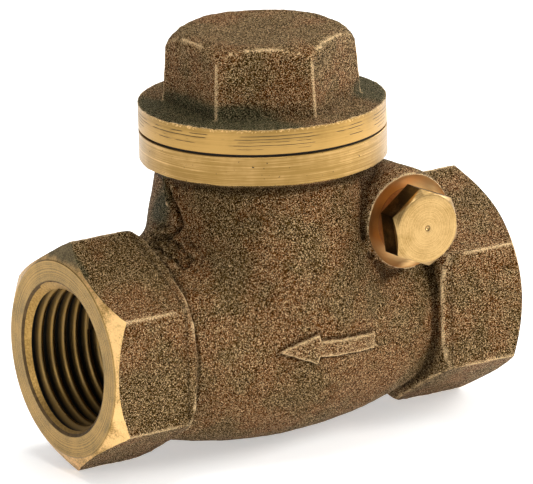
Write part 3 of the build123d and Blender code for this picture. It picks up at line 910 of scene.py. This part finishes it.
# The arrow's outline and the patch it stands on, as (x, z), and the paths of the flaw and ripple
ARROW = [
    (24.3, 0.1),
    (29.9, 2.0),
    (30.1, 0.95),
    (39.2, 0.35),
    (39.1, -1.85),
    (30.0, -1.2),
    (29.7, -2.1),
]
ARROW_ROOM = [(23.5, -2.9), (40.0, -2.9), (40.0, 2.9), (23.5, 2.9)]
FLAW = [
    (17.9, 1.0, 21.2),
    (17.7, 0.6, 20.1),
    (17.4, -0.6, 19.0),
    (17.3, -2.2, 17.8),
    (17.2, -3.2, 16.2),
    (16.6, -2.5, 15.2),
    (15.8, -1.4, 14.4),
    (14.9, -0.2, 13.9),
]
RIPPLE = [(15.0, -0.4, 14.0), (15.2, -3.2, 13.4), (15.6, -6.4, 12.3)]


def on_belly(points):
    """Where the front of the belly is."""
    return points[:, 1] < -12


def arrow_distance(points):
    """The distance to the arrow's outline, with the edges a little uneven."""
    wobble = waves(points, 0.9, 7) * 0.09
    return polygon_distance(points[:, 0], points[:, 2], ARROW) + wobble


def near_arrow(points):
    """The points where the arrow's edge needs small faces."""
    away = polygon_distance(points[:, 0], points[:, 2], ARROW)
    return on_belly(points) & (np.abs(away) < 0.75)


def near_flaw(points):
    """The points where the casting flaw needs small faces."""
    return np.minimum(path_distance(points, FLAW), path_distance(points, RIPPLE) - 0.5) < 1.0


class Flats:
    """The six flats of a cast hexagon between two heights along a place's Z."""

    def __init__(self, place, first, low, high, across, draft=0.0):
        self.axes = np.array(place.to_3x3())
        self.origin = np.array(place.translation)
        self.turns = first + np.radians(60.0 * np.arange(6))
        self.low, self.high, self.across, self.draft = low, high, across, draft

    def heights(self, points):
        """How far each point lies above each flat, and the point's share in this hexagon."""
        u, v, w = ((points - self.origin) @ self.axes).T
        out = np.outer(np.cos(self.turns), u) + np.outer(np.sin(self.turns), v)
        out = out - self.across / 2 + (w - self.low) * self.draft
        share = smooth_step(w, self.low, self.low + 0.5)
        share *= smooth_step(-w, -self.high, 0.5 - self.high)
        return out, share * (np.abs(out.max(axis=0)) < 0.6)

    def arris(self, points):
        """How near each point is to a corner of the hexagon, from 0 to 1."""
        out, share = self.heights(points)
        first, second = np.sort(out, axis=0)[-1:-3:-1]
        return hump(first, second, 0.3) * share

    def snapped(self, points):
        """The points drawn onto the flats."""
        out, share = self.heights(points)
        nearest = out.argmax(axis=0)
        move = out.max(axis=0) * share
        turn = self.turns[nearest]
        step = np.stack([np.cos(turn) * move, np.sin(turn) * move, np.zeros(len(move))], axis=1)
        return points - step @ self.axes.T


def end_flats(sizes):
    """The flats of the two pipe ends."""
    span, across = sizes.face_to_face / MM, sizes.hexagon_flats / MM
    first = math.radians(30)
    return [
        Flats(PIPE_UPRIGHT, first, -1.0, 10.4, across),
        Flats(PIPE_UPRIGHT, first, span - 11.2, span + 1.0, across),
    ]


def near_arris(points, flats):
    """The points beside a hexagon's corners, which need small faces."""
    return np.max([each.arris(points) for each in flats], axis=0) > 0.05


def standing(mesh, rounds):
    """How far each point stands out from its surroundings in millimetres, below 0 in a hollow."""
    points = points_of(mesh)
    flat = relaxed(points, edges_of(mesh), np.full(len(points), 0.8), rounds)
    return ((points - flat) * normals_of(mesh)).sum(axis=1)


def cast_skin(mesh, seed, flats):
    """Gives a smooth mesh the uneven skin of a sand casting, with its ridges kept."""
    ridge = smooth_step(np.abs(standing(mesh, 2)), 0.03, 0.09)
    points = relaxed(points_of(mesh), edges_of(mesh), 0.6 * (1 - 0.95 * ridge), 3)
    for each in flats:
        points = each.snapped(points)
    set_points(mesh, points)
    lift = waves(points, 5.0, seed) * 0.07 + waves(points, 1.6, seed + 1) * 0.05
    lift += waves(points, 0.7, seed + 2) * 0.045
    set_points(mesh, points + normals_of(mesh) * lift[:, None])


def painted_shade_behind_hexagons(points, sizes):
    """Painted shade in the corner where each hexagon end meets the barrel."""
    from_inlet = points[:, 0] - sizes.face_to_face / MM
    return hump(points[:, 0], 11.05, 0.35) * 0.8 + hump(from_inlet, -11.85, 0.55) * 0.6


def hexagon_backs_without_highlight(points, sizes):
    """The back edges of the hexagon ends, where the scuffing and painted highlight on ridges are
    mostly taken away.
    """
    from_inlet = points[:, 0] - sizes.face_to_face / MM
    return hump(points[:, 0], 10.2, 0.9) * 0.4 + hump(from_inlet, -10.8, 0.9) * 0.9


def skin_marks(mesh, flats):
    """The scuffed ridges and hexagon corners, partly painted highlight, and the painted shade in
    creases and hollows of a cast skin.
    """
    arris = np.max([each.arris(points_of(mesh)) for each in flats], axis=0)
    # Ridges and hexagon corners: partly scuffed metal, partly painted highlight.
    wear_and_highlight = smooth_step(standing(mesh, 6), 0.05, 0.2)
    # Painted shade: creases and broad hollows are marked for darkening, and creases get no highlight.
    crease = smooth_step(-standing(mesh, 10), 0.03, 0.14)
    painted_shade = smooth_step(-standing(mesh, 50), 0.06, 0.45)
    return np.maximum(wear_and_highlight * (1 - crease), arris), np.maximum(painted_shade, crease)


def arc_radius(widest, arc, away):
    """The radius of a form turned from an arc, at a distance from its widest place."""
    return widest - arc + math.sqrt(arc**2 - away**2)


def arrow_shaving():
    """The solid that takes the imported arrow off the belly, so that a rougher one can grow there."""
    slab = prism("arrow slab", ARROW_ROOM, 12, 19, axes_at((0, 0, 0), (0, -1, 0), (1, 0, 0)))
    left_on = 0.03
    widest, bowl_radius, neck_arc = BARREL_RADIUS + left_on, BOWL_RADIUS + left_on, NECK_ARC + left_on
    barrel = [(x, arc_radius(widest, BARREL_ARC, x - BARREL_WIDEST_X)) for x in range(18, 46, 3)]
    turns = np.radians(range(-45, 1, 5))
    bowl = [(BOWL_Z + bowl_radius * math.sin(a), bowl_radius * math.cos(a)) for a in turns]
    neck = [(z, arc_radius(bowl_radius, neck_arc, z - BOWL_Z)) for z in range(3, 12, 2)]
    waist = [*bowl, *neck]
    for name, rim, place in (("barrel", barrel, PIPE), ("waist", waist, NECK)):
        slab = cut(slab, lathe(name, [(rim[0][0], 0), *rim, (rim[-1][0], 0)], place, 360))
    return slab


def boss_shaving():
    """The ring that trims the front of the hinge boss."""
    ring = rod("boss ring", 7.4, -18, -13.3, PIN, 96)
    core = [(-19, 0), (-19, 6.6), (-14.2, 6.6), (-13.2, 7.5), (-13.2, 0)]
    return cut(ring, lathe("boss core", core, PIN, 96))


def arrow_relief(points, height):
    """How far the arrow stands out at each point, its scuffed face with a painted highlight round its
    rim, and a painted shadow at its foot.
    """
    edge = arrow_distance(points)
    belly = on_belly(points)
    raised = smooth_step(-edge, -0.12, 0.10) * belly
    uneven = height * (1 + waves(points, 1.3, 9) * 0.25)
    # The arrow's face is partly scuffed metal; the band along its edge is a painted highlight.
    scuffed_and_highlit = raised * 0.35 + hump(edge, -0.12, 0.2) * belly * 0.55
    # The last value is a painted shadow in a thin line just outside the arrow's edge.
    return raised * uneven, scuffed_and_highlit, hump(edge, 0.32, 0.2) * belly


def flaw_relief(points):
    """How far the casting flaw and its ripples lift the skin, and how deep their grooves are."""
    away = path_distance(points, FLAW)
    ragged = waves(points, 0.55, 12)
    groove = hump(away, 0, 0.42 + 0.25 * ragged) * (0.85 + 0.5 * ragged)
    fold = hump(away, 0.85, 0.5) * (0.2 + 0.4 * ragged)
    away = path_distance(points, RIPPLE)
    ripples = np.sin(away * 4.6 + ragged * 3.5) * hump(away, 0, 1.8) * 0.15
    groove += np.clip(-ripples, 0, 1) * 3
    return fold + ripples - groove, groove


def cast_body_blank(sizes, material):
    """The body's casting before any machining, with the arrow and the flaw, and its marks."""
    region = hollow_region()
    end_hexagon = hexagon(sizes.hexagon_flats / MM)
    span = sizes.face_to_face / MM
    stock = 0.9
    collar = [(21.6, 0), (21.95, 14.5), (23.2, 17.4), (27.6, 17.4), (27.6, 0)]
    blanks = [
        cut(cut(welded("body", material), arrow_shaving()), boss_shaving()),
        prism("outlet blank", end_hexagon, -stock, 10.6, PIPE_UPRIGHT),
        prism("inlet blank", end_hexagon, span - 11.4, span + stock, PIPE_UPRIGHT),
        lathe("collar blank", collar, NECK, 128),
        rod("boss blank", 6.6, -15.45, -12, PIN),
    ]
    mesh = fused(blanks + region, sizes.voxel)
    flats = end_flats(sizes)
    mesh = refined(mesh, lambda points: near_arris(points, flats), 1)
    mesh = refined(mesh, near_arrow, 2)
    mesh = refined(mesh, near_flaw, 2)
    cast_skin(mesh, 3, flats)
    points = points_of(mesh)
    arrow, scuffed_and_highlit, foot = arrow_relief(points, sizes.arrow_height / MM)
    scar, groove = flaw_relief(points)
    points += normals_of(mesh) * (arrow + scar)[:, None]
    bottom = 0.01 - sizes.hexagon_flats / MM / math.sqrt(3)
    points[:, 2] = np.maximum(points[:, 2], bottom)
    set_points(mesh, points)
    mesh.materials.clear()
    mesh.materials.append(material)
    # The flaw's groove and the arrow's foot go out as painted shadow for the skin's marks.
    return mesh, region, scuffed_and_highlit, groove + foot * 0.7


def patina_on_body(points):
    """Where the grey green tarnish lies on the body."""
    x, y, z = points.T
    neck_left = smooth_step(18.8 - x, 0, 1.6) * smooth_step(z, 13.5, 16.5)
    outlet_top = smooth_step(-x, -2.2, -1.0) * smooth_step(z, 11.5, 13.0)
    return neck_left * smooth_step(y, -2.5, 1.5) * 0.95 + outlet_top * 0.8


def end_turning(sizes, material):
    """The turned form that holds both pipe ends, with flat end faces and chamfers of 35 degrees."""
    span, face = sizes.face_to_face / MM, sizes.end_face_radius / MM
    outward = 30.0
    setback = outward * math.tan(math.radians(35))
    profile = [
        (0, 0),
        (0, face),
        (setback, face + outward),
        (span - setback, face + outward),
        (span, face),
        (span, 0),
    ]
    return lathe("end turning", profile, PIPE, 192, material)


def collar_turning(sizes, material):
    """The solid that turns the collar's side and its top face."""
    top, rim = sizes.collar_top / MM, sizes.collar_radius / MM
    foot, clear_height, clear_radius = 21.9, 30, 40
    profile = [
        (top, 0),
        (top, rim - EDGE_BREAK),
        (top - EDGE_BREAK, rim),
        (foot, rim),
        (foot, clear_radius),
        (clear_height, clear_radius),
        (clear_height, 0),
    ]
    return lathe("collar turning", profile, NECK, 192, material)


def hollow_tool(region, material):
    """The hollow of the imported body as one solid, found within the region round it."""
    hollow = cut(united(region), welded("body", material))
    for k in range(len(hollow.materials)):
        hollow.materials[k] = material
    return hollow


class VALVE_OT_body(bpy.types.Operator):
    """Builds the body casting, its turned faces and its threads"""

    bl_idname = "valve.body"
    bl_label = "Body casting"

    def execute(self, context):
        sizes = context.scene.casting_sizes
        cast = cast_bronze()
        ends = turned_end()
        thread = cut_thread()
        collar_finish = turned_collar()
        spot = turned_spot_face()
        inside = hidden_bronze("cored_inside", (0.16, 0.10, 0.045), 0.6, 1500, 0.0002)
        mesh, region, scuffed_and_highlit, painted_shadows = cast_body_blank(sizes, cast)
        skin_points = points_of(mesh)
        wear_and_highlight, painted_shade = skin_marks(mesh, end_flats(sizes))
        # The skin's marks: scuffed ridges with painted highlights, painted shade in hollows, creases,
        # the flaw's groove, the arrow's foot and behind the hexagons, and the tarnish.
        marks = {
            "wear_and_highlight": wear_and_highlight * (1 - hexagon_backs_without_highlight(skin_points, sizes)) + scuffed_and_highlit,
            "painted_shade": painted_shade + painted_shadows + painted_shade_behind_hexagons(skin_points, sizes),
            "patina": patina_on_body(skin_points),
        }

        mesh = cut(mesh, end_turning(sizes, ends), "INTERSECT")
        mesh = cut(mesh, collar_turning(sizes, collar_finish))
        spot_radius = sizes.spot_face_radius / MM
        mesh = cut(mesh, rod("spot facing", spot_radius, -18, -14.9, PIN, 96, spot))
        mesh = cut(mesh, hollow_tool(region, inside))
        for mouth, inward in ((0, 1), (sizes.face_to_face / MM, -1)):
            for tool in thread_tool(mouth, inward, thread):
                mesh = cut(mesh, tool)
        keep_marks(mesh, nearest_values(points_of(mesh), skin_points, marks))
        finished("body_casting", mesh, "valve", "body")
        return {"FINISHED"}


# The cap's hexagon: its foot and height, its width at the foot and each flat's lean per millimetre
CAP_HEXAGON_Z = 30.0
CAP_HEXAGON_HEIGHT = 10.2
CAP_FLATS = 23.2
CAP_DRAFT = 0.0657

# The cap's hollow, from the skirt up, as (along, radius)
CAP_HOLLOW = [(27, 11.3), (30.8, 9.6), (37.6, 9.6), (37.6, 0)]


def cap_hexagon():
    """The cap's drafted hexagon under its domed top."""
    turn = math.radians(30)
    top = CAP_HEXAGON_Z + CAP_HEXAGON_HEIGHT
    top_flats = CAP_FLATS - 2 * CAP_DRAFT * CAP_HEXAGON_HEIGHT
    verts = [(u, v, CAP_HEXAGON_Z) for u, v in hexagon(CAP_FLATS, turn)]
    verts += [(u, v, top) for u, v in hexagon(top_flats, turn)]
    faces = [tuple(reversed(range(6))), tuple(range(6, 12))]
    faces += [(k, (k + 1) % 6, (k + 1) % 6 + 6, k + 6) for k in range(6)]
    turned = axes_at((32.5, 0, 0), (0, 0, 1), (1, 0, 0))
    solid = mesh_from("cap hexagon", verts, faces, turned)
    z, radius, curve = 36.45, 9.45, 3.75
    bends = np.radians(range(10, 91, 10))
    dome = [(29.9, 0), (29.9, 13.5), (36.4, 13.2)]
    dome += [(z + curve * math.sin(a), radius + curve * math.cos(a)) for a in bends]
    return cut(solid, lathe("dome", [*dome, (top, 0)], NECK, 144), "INTERSECT")


def cap_turning(sizes, material):
    """The turned form that holds the cap: the skirt's end, the flange's foot and its side."""
    rim = sizes.collar_radius / MM
    foot = sizes.collar_top / MM + GASKET
    profile = [
        (18.51, 0),
        (18.51, 11.95),
        (19.1, 12.55),
        (foot, 12.55),
        (foot, rim - EDGE_BREAK),
        (foot + EDGE_BREAK, rim),
        (34, rim),
        (45, 20),
        (45, 0),
    ]
    return lathe("flange turning", profile, NECK, 192, material)


class VALVE_OT_cap(bpy.types.Operator):
    """Builds the screwed cap with its turned flange"""

    bl_idname = "valve.cap"
    bl_label = "Cap"

    def execute(self, context):
        sizes = context.scene.casting_sizes
        cast = bpy.data.materials["sand_cast_bronze"]
        flange_finish = turned_flange()
        inside = bpy.data.materials["cored_inside"]
        skirt = [(16.8, 0), (16.8, 13.2), (27, 13.2), (27, 0)]
        flange = [(26.6, 0), (26.6, 17.3), (30.2, 17.3), (30.62, 16.9), (30.62, 0)]
        blanks = [
            welded("cap", cast),
            lathe("flange blank", flange, NECK, 128),
            lathe("skirt blank", skirt, NECK, 128),
            lathe("core blank", [(20, 0), (20, 11.3), *CAP_HOLLOW], NECK, 72),
            cap_hexagon(),
        ]
        mesh = fused(blanks, sizes.voxel)
        flats = [Flats(NECK, math.radians(30), CAP_HEXAGON_Z, 38.6, CAP_FLATS, CAP_DRAFT)]
        mesh = refined(mesh, lambda points: near_arris(points, flats), 1)
        cast_skin(mesh, 21, flats)
        points = points_of(mesh)
        points[:, 2] = np.minimum(points[:, 2], 40.29)
        set_points(mesh, points)
        mesh.materials.clear()
        mesh.materials.append(cast)
        skin_points = points_of(mesh)
        x, y, z = skin_points.T
        foot = smooth_step(-z, -34.5, -31.2) * smooth_step(z, 30.2, 30.7)
        side = smooth_step(np.abs(x - 31.5 + y * 0.35), 6.5, 10.5)
        wear_and_highlight, painted_shade = skin_marks(mesh, flats)
        # Scuffed ridges with painted highlights, a little painted shade in the hollows, and tarnish
        # round the hexagon's foot.
        marks = {"wear_and_highlight": wear_and_highlight, "painted_shade": painted_shade * 0.2, "patina": foot * (0.5 + side * 0.5)}

        core = lathe("cap core", [(15, 0), (15, 11.3), *CAP_HOLLOW], NECK, 72, inside)
        mesh = cut(mesh, cut(core, welded("cap", inside)))
        mesh = cut(mesh, cap_turning(sizes, flange_finish), "INTERSECT")
        keep_marks(mesh, nearest_values(points_of(mesh), skin_points, marks))
        finished("cap_casting", mesh, "valve", "cap")
        return {"FINISHED"}


def hexagon_outline(across_flats, corner_round, turn):
    """A hexagon's outline with rounded corners, as (radius, angle) pairs."""
    flat = across_flats / 2
    inner = flat - corner_round
    outline = []
    for side in range(6):
        middle = turn + math.radians(60 * side + 30)
        edge = inner * math.tan(math.radians(30))
        for share in np.linspace(-1, 1, 9)[:-1]:
            u, v = flat, edge * share
            outline.append((math.hypot(u, v), middle + math.atan2(v, u)))
        corner = Vector((inner, edge))
        for bend in np.radians(np.linspace(0, 60, 7)[:-1]):
            u = corner.x + corner_round * math.cos(bend)
            v = corner.y + corner_round * math.sin(bend)
            outline.append((math.hypot(u, v), middle + math.atan2(v, u)))
    return outline


def plug_head(material):
    """The plug's hexagon head, with a bevelled face and a centre mark."""
    seat, head, bevel, face_radius = -16.0, 3.8, 0.7, 4.6
    foot_edge, face_edge = 0.12, 0.07
    face = seat - head
    outline = hexagon_outline(9.5, 0.12, math.radians(-36.5))
    slope = bevel / (max(radius for radius, _ in outline) - face_radius)
    rows = [
        [(0.0, a, seat) for _, a in outline[:1]],
        [(r - foot_edge, a, seat) for r, a in outline],
        [(r, a, seat - foot_edge) for r, a in outline],
        [(r, a, face + (r - face_radius) * slope + face_edge) for r, a in outline],
        [(r - face_edge, a, face + (r - face_radius) * slope) for r, a in outline],
        [(face_radius + face_edge, a, face + face_edge * slope) for _, a in outline],
    ]
    for radius in (4.5, 3.9, 3.2, 2.5, 1.8, 1.1, 0.4):
        rows.append([(radius, a, face) for _, a in outline])
    rows.append([(0.28, a, face + 0.04) for _, a in outline])
    rows.append([(0.0, a, face + 0.32) for _, a in outline[:1]])
    verts, rings, faces = [], [], []
    for row in rows:
        rings.append(list(range(len(verts), len(verts) + len(row))))
        verts += [(r * math.cos(a), r * math.sin(a), y) for r, a, y in row]
    count = len(outline)
    for low, high in zip(rings, rings[1:]):
        for k in range(count):
            n = (k + 1) % count
            if len(low) == 1:
                faces.append((low[0], high[k], high[n]))
            elif len(high) == 1:
                faces.append((low[n], low[k], high[0]))
            else:
                faces.append((low[n], low[k], high[k], high[n]))
    return mesh_from("plug head", verts, faces, PIN, material)


class VALVE_OT_plug(bpy.types.Operator):
    """Builds the turned hexagon plug and gives the washer its finish"""

    bl_idname = "valve.plug"
    bl_label = "Hinge plug"

    def execute(self, context):
        finish = turned_plug()
        shank = [(-16.5, 0), (-16.5, 3.85), (-10.3, 3.85), (-9.8, 3.35), (-9.8, 0)]
        mesh = united([plug_head(finish), lathe("plug shank", shank, PIN, 64, finish)])
        finished("plug_screw", mesh, "valve", "hinge_plug", 20)
        copper = hidden_bronze("dull_copper", (0.34, 0.17, 0.07), 0.35, 2000, 0.00004)
        dress("plug_washer", copper)
        return {"FINISHED"}


class VALVE_OT_inner(bpy.types.Operator):
    """Gives the pieces inside the valve their materials"""

    bl_idname = "valve.inner"
    bl_label = "Inner pieces"

    def execute(self, context):
        bronze = hidden_bronze("cast_arm", (0.30, 0.19, 0.09), 0.42, 1800, 0.00012)
        brass = hidden_bronze("turned_inside", (0.58, 0.42, 0.19), 0.26, 5200, 0.00002, 1.0)
        steel = hidden_bronze("drawn_steel", (0.50, 0.49, 0.47), 0.25, 6000, 0.00002, 1.0)
        black = hidden_bronze("black_fibre", (0.018, 0.018, 0.017), 0.7, 3000, 0.00006, 0.0)
        rubber = hidden_bronze("black_rubber", (0.022, 0.022, 0.023), 0.55, 1500, 0.00005, 0.0)
        finishes = {
            "cap_gasket": black,
            "hinge_pin": steel,
            "disc_hanger": bronze,
            "disc_holder": brass,
            "seat_disc": rubber,
            "seat_disc_washer": brass,
            "seat_disc_nut": brass,
            "hanger_washer": brass,
            "hanger_nut": brass,
            "split_pin": steel,
        }
        for node, material in finishes.items():
            dress(node, material)
        return {"FINISHED"}


# Each lamp's name, place and size in metres and power in watts
LAMPS = (
    ("key", (0.50, -0.28, 0.30), 0.30, 2.6),
    ("front", (0.10, -0.62, 0.30), 0.34, 0.25),
    ("top", (0.06, 0.02, 0.62), 0.40, 2.4),
    ("left", (-0.55, -0.12, 0.20), 0.24, 0.55),
    ("right", (0.42, 0.12, 0.16), 0.20, 0.5),
)


def add_lamp(name, place, size, power):
    """A round soft lamp that points at the valve."""
    target = Vector((0.0326, 0, 0.0104))
    lamp = bpy.data.lights.new(name, "AREA")
    lamp.shape = "DISK"
    lamp.size = size
    lamp.energy = power
    holder = new_object(name, lamp)
    holder.location = place
    holder.rotation_euler = (target - Vector(place)).to_track_quat("-Z", "Y").to_euler()


def add_camera(settings):
    """The camera that was fitted to the photograph."""
    az, el, roll = settings.azimuth, settings.elevation, settings.roll
    back = Vector((-math.sin(az) * math.cos(el), -math.cos(az) * math.cos(el), math.sin(el)))
    side = (-back).cross(Vector((0, 0, 1))).normalized()
    up = side.cross(-back)
    right = side * math.cos(roll) - up * math.sin(roll)
    top = side * math.sin(roll) + up * math.cos(roll)
    eye = bpy.data.cameras.new("photo view")
    eye.sensor_width = 36.0
    picture_width, focal_length = 533, 8000
    eye.lens = focal_length / picture_width * eye.sensor_width
    eye.clip_start, eye.clip_end = 0.01, 20
    camera = new_object("photo view", eye)
    turn = Matrix((right, top, back)).transposed().to_4x4()
    centre = Vector((0.03259, 0, 0.01041))
    camera.matrix_world = Matrix.Translation(centre + back * settings.distance) @ turn
    bpy.context.scene.camera = camera


class VALVE_OT_stage(bpy.types.Operator):
    """Sets up the pale floor, the soft lights and the camera"""

    bl_idname = "valve.stage"
    bl_label = "Stage"

    def execute(self, context):
        settings = context.scene.stage_settings
        context.scene.view_settings.view_transform = "Standard"
        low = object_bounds()[0].z
        reach = 4.0
        corners = [(x * reach, y * reach, low) for x, y in ((-1, -1), (1, -1), (1, 1), (-1, 1))]
        mesh = bpy.data.meshes.new("floor")
        mesh.from_pydata(corners, [], [(0, 1, 2, 3)])
        recipe = Recipe("floor")
        glow = {"emission_color": (1, 1, 1, 1), "emission_strength": 0.45}
        mesh.materials.append(recipe.surface(base_color=settings.floor, roughness=0.8, **glow))
        new_object("floor", mesh)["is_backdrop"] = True

        world = bpy.data.worlds.new("studio")
        world.use_nodes = True
        sky = world.node_tree.nodes["Background"]
        sky.inputs["Color"].default_value = (1, 1, 1, 1)
        sky.inputs["Strength"].default_value = 0.34
        context.scene.world = world
        for name, place, size, power in LAMPS:
            add_lamp(name, place, size, power * settings.key)
        add_camera(settings)
        return {"FINISHED"}


class VALVE_PT_panel(bpy.types.Panel):
    """Lists the valve's pieces"""

    bl_label = "Swing check valve"
    bl_idname = "VALVE_PT_panel"
    bl_space_type = "VIEW_3D"
    bl_region_type = "UI"
    bl_category = "Valve"

    def draw(self, context):
        for operator in OPERATORS:
            self.layout.operator(operator.bl_idname)


GROUPS = {
    "casting_sizes": CastingSizes,
    "thread_sizes": ThreadSizes,
    "cast_finish": CastFinish,
    "turned_finish": TurnedFinish,
    "stage_settings": StageSettings,
}
OPERATORS = (VALVE_OT_body, VALVE_OT_cap, VALVE_OT_plug, VALVE_OT_inner, VALVE_OT_stage)


def register():
    for group in GROUPS.values():
        bpy.utils.register_class(group)
    for name, group in GROUPS.items():
        setattr(bpy.types.Scene, name, PointerProperty(type=group))
    for operator in OPERATORS:
        bpy.utils.register_class(operator)
    bpy.utils.register_class(VALVE_PT_panel)


def unregister():
    bpy.utils.unregister_class(VALVE_PT_panel)
    for operator in reversed(OPERATORS):
        bpy.utils.unregister_class(operator)
    for name in GROUPS:
        delattr(bpy.types.Scene, name)
    for group in reversed(GROUPS.values()):
        bpy.utils.unregister_class(group)


def main():
    register()
    bpy.ops.valve.body()
    bpy.ops.valve.cap()
    bpy.ops.valve.plug()
    bpy.ops.valve.inner()
    bpy.ops.valve.stage()


if __name__ == "__main__":
    main()
